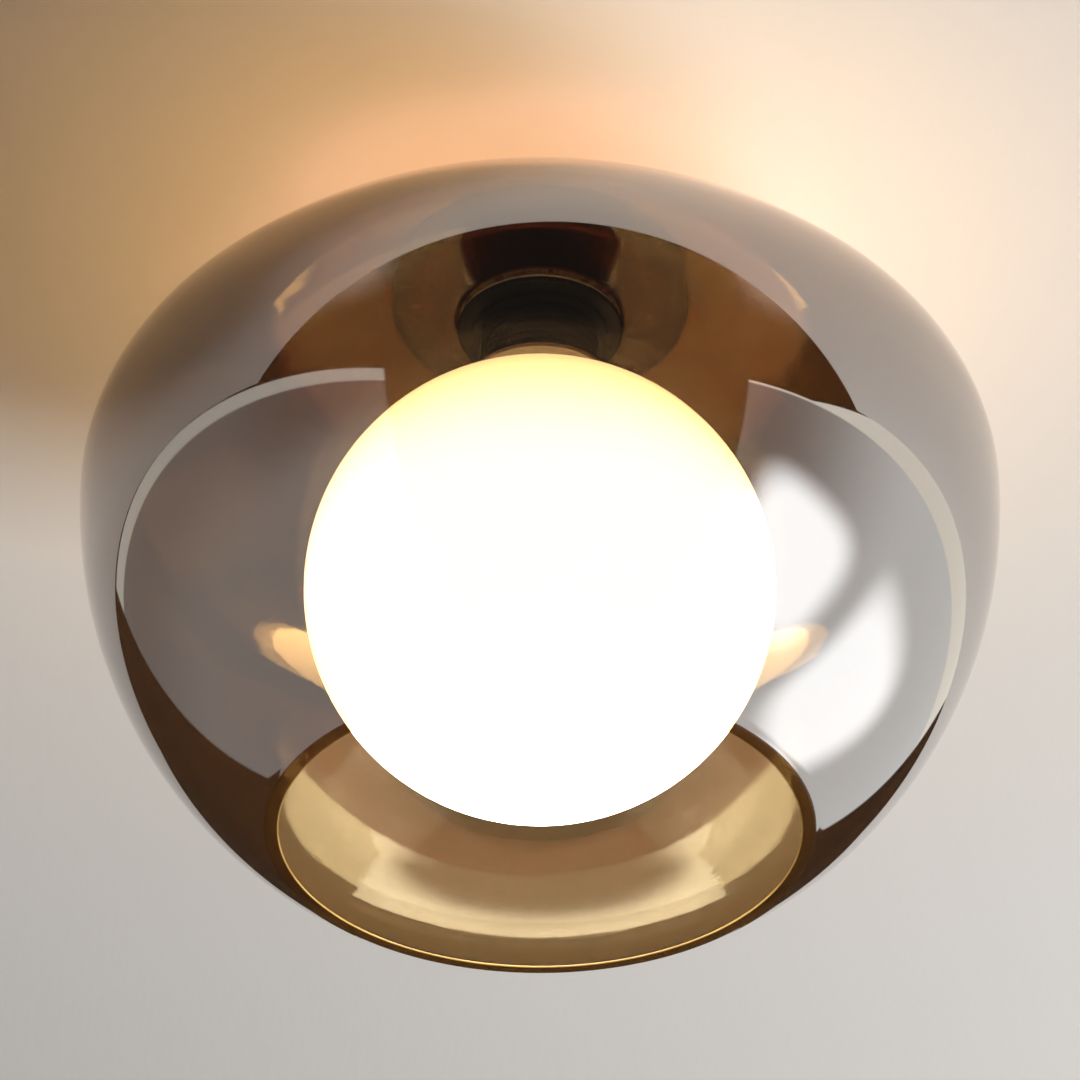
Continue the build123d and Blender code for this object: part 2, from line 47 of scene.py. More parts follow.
class Sock:  # one output socket; sums on it add Math nodes
    def __init__(self, graph, socket):
        self.graph = graph
        self.socket = socket

    def math(self, operation, *values):
        sockets = dict(enumerate((self, *values)))
        return self.graph.node("ShaderNodeMath", {"operation": operation}, sockets)

    def swapped(self, operation, value):
        return self.graph.node("ShaderNodeMath", {"operation": operation}, {0: value, 1: self})

    def __add__(self, value):
        return self.math("ADD", value)

    def __sub__(self, value):
        return self.math("SUBTRACT", value)

    def __rsub__(self, value):
        return self.swapped("SUBTRACT", value)

    def __mul__(self, value):
        return self.math("MULTIPLY", value)

    def __truediv__(self, value):
        return self.math("DIVIDE", value)

    def __rtruediv__(self, value):
        return self.swapped("DIVIDE", value)

    def __pow__(self, value):
        return self.math("POWER", value)

    def __rpow__(self, value):
        return self.swapped("POWER", value)

    __radd__ = __add__
    __rmul__ = __mul__


class Graph:  # a node tree, filled by one method
    def __init__(self, tree):
        self.tree = tree
        tree.nodes.clear()

    def node(self, kind, settings=None, sockets=None, out=0):  # out is one output, or a tuple of them
        made = self.tree.nodes.new(kind)
        for key, value in (settings or {}).items():
            setattr(made, key, value)
        for key, value in (sockets or {}).items():
            if isinstance(value, Sock):
                self.tree.links.new(value.socket, made.inputs[key])
            else:
                made.inputs[key].default_value = value
        if isinstance(out, tuple):
            return [Sock(self, made.outputs[key]) for key in out]
        return Sock(self, made.outputs[out]) if made.outputs else None

    def blend(self, factor, first, second):  # two colours
        settings = {"data_type": "RGBA"}
        return self.node("ShaderNodeMix", settings, {0: factor, 6: first, 7: second}, 2)

    def join(self, factor, first, second):  # two shaders
        return self.node("ShaderNodeMixShader", None, {0: factor, 1: first, 2: second})

    def place(self, scale=(1, 1, 1)):  # a point of the piece, in metres, stretched by scale
        point = self.node("ShaderNodeTexCoord", None, None, "Object")
        return self.node("ShaderNodeMapping", None, {"Vector": point, "Scale": scale})

    def split(self, vector):
        return self.node("ShaderNodeSeparateXYZ", None, {0: vector}, (0, 1, 2))

    def axes(self):  # x, y and z of a point of the piece
        return self.split(self.place())

    def reach(self, x, y):  # how far a point lies from the lamp's axis
        return (x * x + y * y).math("SQRT")

    def noise(self, scale, detail=2.0, stretch=(1, 1, 1), roughness=0.5):
        sockets = {"Vector": self.place(stretch), "Scale": scale, "Detail": detail, "Roughness": roughness}
        return self.node("ShaderNodeTexNoise", None, sockets, "Fac")

    def step(self, value, start, end):  # a smooth rise from 0 at start to 1 at end
        sockets = {"Value": value, "From Min": start, "From Max": end}
        return self.node("ShaderNodeMapRange", {"interpolation_type": "SMOOTHSTEP"}, sockets)

    def bump(self, height, distance, normal=None):
        sockets = {"Height": height, "Distance": distance, "Strength": 1.0}
        if normal:
            sockets["Normal"] = normal
        return self.node("ShaderNodeBump", None, sockets)

    def gloss(self, square, slant=1.0, power=5):  # how much a face mirrors, alike from both sides
        facing = self.node("ShaderNodeLayerWeight", None, {"Blend": 0.5}, "Facing")
        return (slant - square) * facing ** power + square

    def clear(self, colour):
        return self.node("ShaderNodeBsdfTransparent", None, {"Color": colour})

    def skin(self, sockets):
        return self.node("ShaderNodeBsdfPrincipled", None, sockets)

    def surface(self, shader):
        self.node("ShaderNodeOutputMaterial", None, {"Surface": shader})


def newFinish(name):
    material = bpy.data.materials.new(name)
    material.use_nodes = True
    return material, Graph(material.node_tree)


def dress(name, material):  # gives a CAD node a better finish
    slots = nodes[name].material_slots
    for slot in slots:
        slot.material = material
    if not slots:
        nodes[name].data.materials.append(material)


def addObject(name, data):
    made = bpy.data.objects.new(name, data)
    bpy.context.scene.collection.objects.link(made)
    return made


def newPiece(name, mesh, materials, body):
    piece = addObject(name, mesh)
    for material in materials:
        mesh.materials.append(material)
    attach(piece, body)
    return piece


def arc(centre, radius, start, end, count):  # points from one angle to another, both in degrees
    turns = [radians(start + (end - start) * i / count) for i in range(count + 1)]
    return [(centre[0] + radius * cos(a), centre[1] + radius * sin(a)) for a in turns]


def circle(steps):  # angles once round
    return [2 * pi * i / steps for i in range(steps)]


def bridge(shape, here, there):  # faces between two rings of points
    hereNext = here[1:] + here[:1]
    thereNext = there[1:] + there[:1]
    return [shape.faces.new(corners) for corners in zip(here, hereNext, thereNext, there)]


def closeMesh(name, shape):
    bmesh.ops.recalc_face_normals(shape, faces=shape.faces)
    mesh = bpy.data.meshes.new(name)
    shape.to_mesh(mesh)
    shape.free()
    return mesh


def spin(name, runs, steps):  # a closed section turned about the lamp's axis; runs are (points, finish)
    samePoint = 1e-7
    section = []
    for points, finish in runs:
        for r, z in points:
            if section and hypot(section[-1][0] - r, section[-1][1] - z) < samePoint:
                section.pop()
            section.append((r, z, finish))
    shape = bmesh.new()
    turns = circle(steps)
    rings = [[shape.verts.new((r * cos(a), r * sin(a), z)) for a in turns] for r, z, finish in section]
    for here, there, (r, z, finish) in zip(rings, rings[1:] + rings[:1], section):
        for face in bridge(shape, here, there):
            face.material_index = finish
            face.smooth = True
    return closeMesh(name, shape)


def skinRings(name, rings, closed=False):  # a solid from rings of points, with capped or joined ends
    shape = bmesh.new()
    loops = [[shape.verts.new(point) for point in ring] for ring in rings]
    following = loops[1:] + loops[:1] if closed else loops[1:]
    for here, there in zip(loops, following):
        bridge(shape, here, there)
    if not closed:
        shape.faces.new(loops[0])
        shape.faces.new(loops[-1])
    return closeMesh(name, shape)


# Shade of smoked glass, with a silvery coat on its outer face

shadeForm = {
    "upperHeight": 0.080,  # equator to the flat land at the top
    "rimRadius": 0.0855,
    "shoulderRadius": 0.047,
    "landRadius": 0.032,
    "holeRadius": 0.021,
    "wall": 0.0025,
    "rimBreak": 0.0006,
    "outerBreak": ((0.58, 0.81), (-0.1, 0.2), (-1, 0)),  # the rim's corners, in widths of its break
    "innerBreak": ((1, 0), (0.2, 0.2), (0.58, 0.81)),
    "steps": 192,
    "topSteps": 36,
    "bowlSteps": 84,
}
smokedGlass = {
    "tint": (0.85, 0.82, 0.74, 1),  # what one pass through the wall lets by
    "coatShine": 0.44,  # how much the coat mirrors, seen square on
    "slantShine": 0.97,  # the same at a slant
    "slantPower": 4,  # a higher power keeps that to a steeper slant
    "coatLoss": (0.47, 0.313, 0.158, 1),
    "silver": (0.93, 0.925, 0.915, 1),
    "coatRoughness": 0.018,
    "smearSize": 24.0,  # smears on the coat, per metre
    "smearEdge": (0.4, 0.75),
    "smearRoughness": 0.03,
    "coatEnd": 0.088,  # round the top hole the coat ends in a ragged edge
    "endFade": 0.002,
    "endRag": 0.024,
    "ragSize": 42.0,
    "topShine": 0.005,  # inside that edge
    "topLoss": (0.50, 0.30, 0.21, 1),
    "bareShine": 0.03,  # the inner face, without a coat
    "bareSilver": (0.93, 0.90, 0.85, 1),
    "bareRoughness": 0.01,
    "bareCloud": 0.03,
    "waveSize": 9.0,  # waves of blown glass, per metre
    "waveDepth": 0.00006,
    "rippleSize": 110.0,  # ripples of the inner side
    "rippleDepth": 0.000022,
    "bowlLean": 0.0047,  # how the wall's uneven thickness leans the mirror seen from inside
    "roofLean": 0.0033,
    "roofBend": (0.100, 0.045),  # radii between which the roof leans
    "roofSlope": 0.023,
    "roofEdge": 0.14,  # radius where the slope starts
}
rimGlass = {
    "dark": (0.045, 0.025, 0.012, 1),
    "pale": (0.09, 0.050, 0.020, 1),
    "through": (0.44, 0.30, 0.16, 1),
    "shine": 0.36,
    "cloudSize": 40.0,
    "grainSize": 900.0,
    "grainDepth": 0.00001,
    "roughness": 0.10,
    "grainRoughness": 0.12,
}
# painted glow on the rim's inner edge: emission on the glass, standing in for light led along the wall
rimPaintedGlow = {
    "gold": (0.26, 0.15, 0.04, 1),
    "low": (0.62, 0.36, 0.07, 1),
    "high": (0.95, 0.60, 0.13, 1),
    "front": (0.10, 0.055, 0.016, 1),
    "strength": 0.55,
    "cloudSize": 70.0,
    "cloudEdge": (0.42, 0.60),
    "roughness": 0.12,
    "cloudRoughness": 0.15,
    "towardsBack": (-0.02, 0.045),  # where the painted glow comes up
    "clear": (0.92, 0.88, 0.80, 1),
    "pastFront": (-0.060, -0.015),  # where the clear front ends
}


def shadeEquator():
    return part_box("shade")[1].z - shadeForm["upperHeight"]


def innerLean(g):  # a height in metres, rising from the rim to the shoulder and on towards the top
    equator = shadeEquator()
    x, y, z = g.axes()
    radius = g.reach(x, y)
    slope = (smokedGlass["roofEdge"] - radius).math("MAXIMUM", 0.0) * smokedGlass["roofSlope"]
    roof = g.step(radius, *smokedGlass["roofBend"]) * smokedGlass["roofLean"] + slope
    bowl = g.step(z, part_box("shade")[0].z, equator) * smokedGlass["bowlLean"]
    return bowl + roof * z.math("GREATER_THAN", equator)


def glassWaves(g):  # slow waves on both sides, with a lean and ripples where the wall is seen from inside
    slow = g.noise(smokedGlass["waveSize"], 1.0)
    inside = g.node("ShaderNodeNewGeometry", None, None, "Backfacing")
    ripple = g.noise(smokedGlass["rippleSize"], 2.5, (1, 1, 0.6), 0.6)
    height = innerLean(g) + ripple * smokedGlass["rippleDepth"]
    return g.bump(height * inside, 1.0, g.bump(slow, smokedGlass["waveDepth"]))


def coatedFace():
    material, g = newFinish("smokedGlassCoat")
    x, y, z = g.axes()
    bowl = z.math("LESS_THAN", shadeEquator())
    rag = (g.noise(smokedGlass["ragSize"], 3.0, roughness=0.6) - 0.5) * smokedGlass["endRag"]
    past = g.reach(x, y) + rag - smokedGlass["coatEnd"]
    full = g.step(past, -smokedGlass["endFade"], smokedGlass["endFade"]).math("MAXIMUM", bowl)
    topMirror = g.gloss(smokedGlass["topShine"], smokedGlass["slantShine"])
    coatMirror = g.gloss(smokedGlass["coatShine"], smokedGlass["slantShine"], smokedGlass["slantPower"])
    mirror = full * (coatMirror - topMirror) + topMirror
    smears = g.step(g.noise(smokedGlass["smearSize"], 4.0, (1, 1, 0.5), 0.6), *smokedGlass["smearEdge"])
    silver = g.skin({
        "Base Color": smokedGlass["silver"], "Metallic": 1.0,
        "Roughness": smears * smokedGlass["smearRoughness"] + smokedGlass["coatRoughness"],
        "Normal": glassWaves(g),
    })
    through = g.join(full, g.clear(smokedGlass["topLoss"]), g.clear(smokedGlass["coatLoss"]))
    g.surface(g.join(mirror, through, silver))
    return material


def bareFace():
    material, g = newFinish("smokedGlassInside")
    slow = g.noise(smokedGlass["waveSize"] * 2, 1.0)
    mirror = g.skin({
        "Base Color": smokedGlass["bareSilver"], "Metallic": 1.0,
        "Roughness": slow * smokedGlass["bareCloud"] + smokedGlass["bareRoughness"],
        "Normal": g.bump(slow, smokedGlass["waveDepth"]),
    })
    g.surface(g.join(g.gloss(smokedGlass["bareShine"]), g.clear(smokedGlass["tint"]), mirror))
    return material


def groundEdge():
    material, g = newFinish("smokedGlassEdge")
    grain = g.noise(rimGlass["grainSize"], 3.0)
    cloud = g.noise(rimGlass["cloudSize"])
    skin = g.skin({
        "Base Color": g.blend(cloud, rimGlass["dark"], rimGlass["pale"]), "IOR": 1.5,
        "Roughness": grain * rimGlass["grainRoughness"] + rimGlass["roughness"],
        "Normal": g.bump(grain, rimGlass["grainDepth"]), "Coat Weight": 0.6, "Coat Roughness": 0.06,
    })
    g.surface(g.join(g.gloss(rimGlass["shine"]), g.clear(rimGlass["through"]), skin))
    return material


def paintedGlowBreak():  # the inner edge of the rim, with a painted glow where light led along the wall comes out
    material, g = newFinish("smokedGlassBreak")
    cloud = g.noise(rimPaintedGlow["cloudSize"], 3.0)
    y = g.axes()[1]
    glow = g.blend(g.step(cloud, *rimPaintedGlow["cloudEdge"]), rimPaintedGlow["low"], rimPaintedGlow["high"])
    glow = g.blend(g.step(y, *rimPaintedGlow["towardsBack"]), rimPaintedGlow["front"], glow)  # painted glow, brightest at the back
    golden = g.skin({
        "Base Color": rimPaintedGlow["gold"], "IOR": 1.5,
        "Roughness": cloud * rimPaintedGlow["cloudRoughness"] + rimPaintedGlow["roughness"],
        "Emission Color": glow, "Emission Strength": rimPaintedGlow["strength"],
    })
    g.surface(g.join(g.step(y, *rimPaintedGlow["pastFront"]), g.clear(rimPaintedGlow["clear"]), golden))
    return material


def shadeFace(inset):  # the profile from hole to rim, as three tangent arcs, inset from the outer face
    low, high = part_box("shade")
    radius, top = high.x, high.z
    equator = shadeEquator()
    drop = equator - low.z
    lean = radius - shadeForm["rimRadius"]
    bowl = (lean * lean + drop * drop) / (2 * lean)
    shoulder = shadeForm["shoulderRadius"]
    out = radius - shoulder - shadeForm["landRadius"]
    rise = shadeForm["upperHeight"]
    crown = (out * out + rise * rise - shoulder * shoulder) / (2 * (rise - shoulder))
    crownCentre = (shadeForm["landRadius"], top - crown)
    shoulderCentre = (radius - shoulder, equator)
    bowlCentre = (radius - bowl, equator)
    meet = degrees(atan2(equator - crownCentre[1], out))  # where crown and shoulder touch
    rimTurn = -degrees(atan2(drop, sqrt((bowl - inset) ** 2 - drop * drop)))
    points = [(shadeForm["holeRadius"], top - inset)]
    points += arc(crownCentre, crown - inset, 90, meet, shadeForm["topSteps"])
    points += arc(shoulderCentre, shoulder - inset, meet, 0, shadeForm["topSteps"])
    points += arc(bowlCentre, bowl - inset, 0, rimTurn, shadeForm["bowlSteps"])
    return points


def breakCorner(corner, offsets):
    cut = shadeForm["rimBreak"]
    return [(corner[0] + cut * r, corner[1] + cut * z) for r, z in offsets]


def makeShade():
    outer = shadeFace(0)
    inner = shadeFace(shadeForm["wall"])
    rim = breakCorner(outer[-1], shadeForm["outerBreak"])
    edge = breakCorner(inner[-1], shadeForm["innerBreak"])
    outer[-1] = rim[0]
    inner[-1] = edge[-1]
    glass = [coatedFace(), bareFace(), groundEdge(), paintedGlowBreak()]
    runs = [(outer, 0), (rim, 2), (edge, 3), (inner[::-1], 1), ([inner[0]], 2)]  # points and finish
    mesh = spin("shadeGlass", runs, shadeForm["steps"])
    piece = newPiece("shadeGlass", mesh, glass, "shade")
    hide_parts("shade")


makeShade()
print("shade made")


# Opal globe, lit from inside

opalGlobe = {
    "glow": 16.5,
    "lowColour": (1.0, 0.965, 0.90, 1),
    "topColour": (0.43, 0.41, 0.365, 1),
    "dimmingRise": (0.47, 0.87),  # in widths of the globe, from its foot; the glow is painted dimmer towards the top, in the shade of the neck
    "neckColour": (0.032, 0.029, 0.026, 1),  # round the neck, in the shadow of the lampholder
    "neckRise": (0.905, 0.945),
    "pale": (0.93, 0.92, 0.88, 1),
    "cream": (0.90, 0.885, 0.84, 1),
    "cloudSize": 30.0,
    "cloudDepth": 0.04,
    "cloudCream": 10,
    "grainSize": 500.0,
    "grainDepth": 0.000004,
    "roughness": 0.22,
    "grainRoughness": 0.10,
}


def opalGlass():
    material, g = newFinish("opalGlass")
    low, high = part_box("globe")
    z = g.axes()[2]
    height = (z - low.z) / (high.x - low.x)
    cloud = g.noise(opalGlobe["cloudSize"], 3.0) * opalGlobe["cloudDepth"]
    # painted shade: the glow dims towards the top, where the neck shades it
    warm = g.step(height + cloud, *opalGlobe["dimmingRise"])
    colour = g.blend(warm, opalGlobe["lowColour"], opalGlobe["topColour"])
    colour = g.blend(g.step(height, *opalGlobe["neckRise"]), colour, opalGlobe["neckColour"])
    grain = g.noise(opalGlobe["grainSize"])
    g.surface(g.skin({
        "Base Color": g.blend(cloud * opalGlobe["cloudCream"], opalGlobe["pale"], opalGlobe["cream"]),
        "Roughness": grain * opalGlobe["grainRoughness"] + opalGlobe["roughness"], "IOR": 1.5,
        "Coat Weight": 0.5, "Coat Roughness": 0.12, "Normal": g.bump(grain, opalGlobe["grainDepth"]),
        "Emission Color": colour, "Emission Strength": opalGlobe["glow"],
    }))
    return material


dress("globe", opalGlass())
print("globe lit")


# Metals, plastics and soft parts

brushedMetal = {
    "darker": 0.75,
    "blotSize": 45.0,
    "blotEdge": (0.35, 0.8),
    "blotRoughness": 0.08,
    "lineStretch": (1, 1, 9),
    "lineRoughness": 0.16,
}
mouldedPart = {
    "cloudSize": 60.0,
    "cloudEdge": (0.35, 0.75),
    "cloudRoughness": 0.12,
    "grainRoughness": 0.08,
    "leastLift": 0.004,
}
zincSpangle = {
    "dark": (0.60, 0.62, 0.65, 1),
    "pale": (0.74, 0.75, 0.76, 1),
    "cellSize": 160.0,
    "blotSize": 35.0,
    "roughness": 0.44,
    "spread": 0.12,
    "depth": 0.00002,
}
earthSleeve = {
    "green": (0.10, 0.36, 0.07, 1),
    "yellow": (0.78, 0.66, 0.06, 1),
    "stripes": 700,
    "stripeEdge": (-0.25, 0.25),
    "cloudSize": 200.0,
    "roughness": 0.38,
    "cloudRoughness": 0.1,
    "depth": 0.00002,
}
lampTube = {
    "base": (0.95, 0.93, 0.88, 1),
    "pale": (1.0, 0.93, 0.80, 1),
    "warm": (1.0, 0.89, 0.72, 1),
    "glow": 6.0,
    "cloudSize": 60.0,
    "roughness": 0.4,
    "cloudRoughness": 0.1,
}
canopyFinish = {
    "pale": (0.20, 0.13, 0.07, 1),
    "dark": (0.155, 0.10, 0.055, 1),
    "blotSize": 40.0,
    "blotEdge": (0.3, 0.8),
    "blotRoughness": 0.12,
    "fineSize": 900.0,
    "fineRoughness": 0.06,
    "fineDepth": 0.000006,
    "roughness": 0.26,
    "knurlTurns": 180,  # crossed lines round the side
    "knurlRise": 4200,  # how they climb, per metre
    "knurlEdge": (-0.2, 0.5),
    "knurlFoot": (-0.0118, -0.0105),
    "knurlTop": (-0.003, -0.004),
    "knurlRadius": (0.0492, 0.0497),
    "knurlDepth": 0.00018,
}


def brushed(name, colour, roughness, lineSize, lineDepth=0.000008):
    material, g = newFinish(name)
    lines = g.noise(lineSize, stretch=brushedMetal["lineStretch"])
    blot = g.noise(brushedMetal["blotSize"], 3.0)
    dull = tuple(c * brushedMetal["darker"] for c in colour[:3]) + (1,)
    uneven = lines * brushedMetal["lineRoughness"] + blot * brushedMetal["blotRoughness"]
    g.surface(g.skin({
        "Base Color": g.blend(g.step(blot, *brushedMetal["blotEdge"]), colour, dull), "Metallic": 1.0,
        "Roughness": uneven + roughness, "Normal": g.bump(lines, lineDepth),
    }))
    return material


def moulded(name, colour, roughness, grainSize=1500, grainDepth=0.00001, lift=1.35, shine=0.5):
    material, g = newFinish(name)
    grain = g.noise(grainSize)
    cloud = g.noise(mouldedPart["cloudSize"], 3.0)
    pale = tuple(min(1.0, c * lift + mouldedPart["leastLift"]) for c in colour[:3]) + (1,)
    uneven = cloud * mouldedPart["cloudRoughness"] + grain * mouldedPart["grainRoughness"]
    g.surface(g.skin({
        "Base Color": g.blend(g.step(cloud, *mouldedPart["cloudEdge"]), colour, pale), "IOR": 1.5,
        "Roughness": uneven + roughness, "Normal": g.bump(grain, grainDepth), "Specular IOR Level": shine,
    }))
    return material


def zincPlate():
    material, g = newFinish("zincPlate")
    sockets = {"Vector": g.place(), "Scale": zincSpangle["cellSize"]}
    cells = g.node("ShaderNodeTexVoronoi", None, sockets, "Color")
    level = g.node("ShaderNodeSeparateColor", None, {0: cells})
    blot = g.noise(zincSpangle["blotSize"], 3.0)
    g.surface(g.skin({
        "Base Color": g.blend(level, zincSpangle["dark"], zincSpangle["pale"]), "Metallic": 1.0,
        "Roughness": (level + blot) * zincSpangle["spread"] + zincSpangle["roughness"],
        "Normal": g.bump(blot, zincSpangle["depth"]),
    }))
    return material


def stripedWire():
    material, g = newFinish("earthWireSleeve")
    x = g.axes()[0]
    stripe = g.step((x * earthSleeve["stripes"]).math("SINE"), *earthSleeve["stripeEdge"])
    cloud = g.noise(earthSleeve["cloudSize"])
    g.surface(g.skin({
        "Base Color": g.blend(stripe, earthSleeve["green"], earthSleeve["yellow"]),
        "Roughness": cloud * earthSleeve["cloudRoughness"] + earthSleeve["roughness"],
        "Normal": g.bump(cloud, earthSleeve["depth"]),
    }))
    return material


def frostedTube():
    material, g = newFinish("frostedTube")
    cloud = g.noise(lampTube["cloudSize"], 3.0)
    g.surface(g.skin({
        "Base Color": lampTube["base"],
        "Roughness": cloud * lampTube["cloudRoughness"] + lampTube["roughness"],
        "Emission Color": g.blend(cloud, lampTube["pale"], lampTube["warm"]),
        "Emission Strength": lampTube["glow"],
    }))
    return material


def lacquer():
    material, g = newFinish("canopyLacquer")
    x, y, z = g.axes()
    turn = y.math("ARCTAN2", x) * canopyFinish["knurlTurns"]
    climb = z * canopyFinish["knurlRise"]
    hatch = (turn + climb).math("SINE") * (turn - climb).math("SINE")
    band = g.step(z, *canopyFinish["knurlFoot"]) * g.step(z, *canopyFinish["knurlTop"])
    side = g.step(g.reach(x, y), *canopyFinish["knurlRadius"])
    knurl = g.step(hatch, *canopyFinish["knurlEdge"]) * band * side
    blot = g.noise(canopyFinish["blotSize"], 3.0)
    fine = g.noise(canopyFinish["fineSize"])
    uneven = blot * canopyFinish["blotRoughness"] + fine * canopyFinish["fineRoughness"]
    normal = g.bump(fine, canopyFinish["fineDepth"], g.bump(knurl, canopyFinish["knurlDepth"]))
    worn = g.step(blot, *canopyFinish["blotEdge"])
    g.surface(g.skin({
        "Base Color": g.blend(worn, canopyFinish["pale"], canopyFinish["dark"]), "Metallic": 0.9,
        "Roughness": uneven + canopyFinish["roughness"], "Normal": normal,
    }))
    return material


brass = brushed("contactBrass", (0.80, 0.60, 0.27, 1), roughness=0.20, lineSize=700)
screwBrass = brushed("screwBrass", (0.74, 0.56, 0.30, 1), roughness=0.24, lineSize=900)
aluminium = brushed(
    "collarAluminium", (0.78, 0.77, 0.74, 1), roughness=0.26, lineSize=800, lineDepth=0.00001,
)
nickel = brushed("capNickel", (0.76, 0.73, 0.68, 1), roughness=0.18, lineSize=500)
black = moulded("holderBlack", (0.006, 0.006, 0.006, 1), roughness=0.34, shine=0.16)
white = moulded("terminalWhite", (0.80, 0.79, 0.74, 1), roughness=0.42, lift=1.08)
ceramic = moulded("contactCeramic", (0.82, 0.81, 0.77, 1), roughness=0.14, grainSize=400, lift=1.06)
silicone = moulded(
    "softSilicone", (0.62, 0.60, 0.56, 1), roughness=0.55, grainSize=900, grainDepth=0.00002, lift=1.1,
)
lampWhite = moulded("lampWhite", (0.86, 0.85, 0.82, 1), roughness=0.36, lift=1.05)
insulator = moulded("insulatorBlack", (0.018, 0.018, 0.022, 1), roughness=0.16)
nodeFinishes = {
    brass: (
        "earth_lug", "earth_screw", "terminal_poles", "screw_shell", "spring_contact", "wire_posts",
        "lamp_tip_contact",
    ),
    zincPlate(): ("mounting_plate", "earth_washer", "clamp_screws", "block_screws", "post_screws"),
    aluminium: ("globe_collar",),
    nickel: ("lamp_cap",),
    black: ("lampholder_skirt", "lampholder_cap", "shade_ring"),
    white: ("terminal_block",),
    ceramic: ("contact_base",),
    silicone: ("upper_gasket", "lower_gasket", "globe_washer", "canopy_washer_right", "canopy_washer_left"),
    lampWhite: ("lamp_body",),
    insulator: ("lamp_insulator",),
    lacquer(): ("canopy",),
    frostedTube(): ("lamp_tube",),
    moulded("liveWireSleeve", (0.17, 0.075, 0.03, 1), roughness=0.38): ("live_wire",),
    moulded("neutralWireSleeve", (0.03, 0.12, 0.46, 1), roughness=0.38): ("neutral_wire",),
    stripedWire(): ("earth_wire",),
}
for material, names in nodeFinishes.items():
    for name in names:
        dress(name, material)
print("finishes on", sum(len(names) for names in nodeFinishes.values()), "nodes")


# Thread for the shade ring and the globe's collar, on the lampholder

holderThread = {
    "top": -0.0256,
    "end": -0.0524,
    "pitch": 0.003,
    "rootRadius": 0.01952,
    "crestRadius": 0.01980,
    "coreRadius": 0.01930,  # inside the lampholder's wall
    "steps": 72,
    "ringsPerTurn": 16,
}


def ridge(along, turn, pitch):  # 1 on the crest of a thread and 0 in its groove, with sloping flanks
    phase = (along / pitch - turn / (2 * pi)) % 1.0
    return min(1.0, max(0.0, 1.5 - abs(4 * phase - 2)))


def makeThread():
    form = holderThread
    turns = circle(form["steps"])
    length = form["top"] - form["end"]
    count = round(length / form["pitch"] * form["ringsPerTurn"])
    rings = []
    for i in range(count + 1):
        z = form["top"] - length * i / count
        fade = min(1.0, min(i, count - i) / form["ringsPerTurn"])  # runs out at both ends
        depth = (form["crestRadius"] - form["rootRadius"]) * fade
        radii = [form["rootRadius"] + depth * ridge(z, a, form["pitch"]) for a in turns]
        rings.append([(r * cos(a), r * sin(a), z) for r, a in zip(radii, turns)])
    for z in (form["end"], form["top"]):
        rings.append([(form["coreRadius"] * cos(a), form["coreRadius"] * sin(a), z) for a in turns])
    mesh = skinRings("holderThread", rings, closed=True)
    newPiece("holderThread", mesh, [black], "base")


# Thumb screws with a knurled head and a dished end

thumbScrew = {
    "headHeight": 0.0024,
    "shaftRadius": 0.002,
    "pitch": 0.0007,
    "threadDepth": 0.0003,
    "ridges": 28,
    "ridgeDepth": 0.00028,
    "headBreak": 0.0004,
    "dishRadius": 0.0027,
    "dishDepth": 0.0004,
    "ringsPerTurn": 8,
}


def makeThumbScrew(name, outward):  # outward is 1 for a head towards +X, and -1 for one towards -X
    form = thumbScrew
    low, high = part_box(name)
    level = (low.z + high.z) / 2
    headRadius = (high.z - low.z) / 2
    length = high.x - low.x
    shaft = length - form["headHeight"]
    tip = low.x if outward > 0 else high.x
    turns = circle(form["ridges"] * 2)

    def ring(along, radii):
        return [(tip + outward * along, r * cos(a), level + r * sin(a)) for r, a in zip(radii, turns)]

    def knurl(along, radius, depth=0):
        return ring(along, [radius - depth * (j % 2) for j in range(len(turns))])

    count = round(shaft / form["pitch"] * form["ringsPerTurn"])
    core = form["shaftRadius"] - form["threadDepth"]
    rings = []
    for i in range(count + 1):
        along = shaft * i / count
        depth = form["threadDepth"] * min(1.0, i / form["ringsPerTurn"])  # runs out at the tip
        rings.append(ring(along, [core + depth * ridge(along, a, form["pitch"]) for a in turns]))
    edge = form["headBreak"]
    dish = form["dishRadius"]
    rings.append(knurl(shaft, headRadius - edge))
    rings.append(knurl(shaft + edge, headRadius, form["ridgeDepth"]))
    rings.append(knurl(length - edge, headRadius, form["ridgeDepth"]))
    rings.append(knurl(length, headRadius - edge))
    rings.append(knurl(length, dish))
    rings.append(knurl(length - form["dishDepth"], dish - form["dishDepth"]))
    mesh = skinRings(name + "Knurled", rings)
    piece = newPiece(name + "Knurled", mesh, [screwBrass], name)
    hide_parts(name)


makeThread()
makeThumbScrew("canopy_screw_right", 1)
makeThumbScrew("canopy_screw_left", -1)
print("thread and thumb screws made")


# Ceiling board, studio light and camera

ceiling = {
    "lift": 0.0004,
    "corners": ((-0.62, -0.258), (-0.37, 0.64), (0.40, 0.64), (0.63, -0.295)),
    "paint": (0.825, 0.81, 0.79, 1),
    "palePaint": (0.86, 0.85, 0.835, 1),
    "cloudSize": 3.0,
    "rollerSize": 260.0,
    "rollerStretch": (1, 0.25, 1),
    "rollerDepth": 0.00006,
    "roughness": 0.6,
    "rollerRoughness": 0.1,
}


def paintedBoard():
    material, g = newFinish("ceilingPaint")
    roller = g.noise(ceiling["rollerSize"], 3.0, ceiling["rollerStretch"])
    cloud = g.noise(ceiling["cloudSize"], 3.0)
    paint = g.skin({
        "Base Color": g.blend(cloud, ceiling["paint"], ceiling["palePaint"]),
        "Roughness": roller * ceiling["rollerRoughness"] + ceiling["roughness"],
        "Normal": g.bump(roller, ceiling["rollerDepth"]),
    })
    above = g.node("ShaderNodeNewGeometry", None, None, "Backfacing")
    g.surface(g.join(above, paint, g.clear((1, 1, 1, 1))))  # open to a look from above
    return material


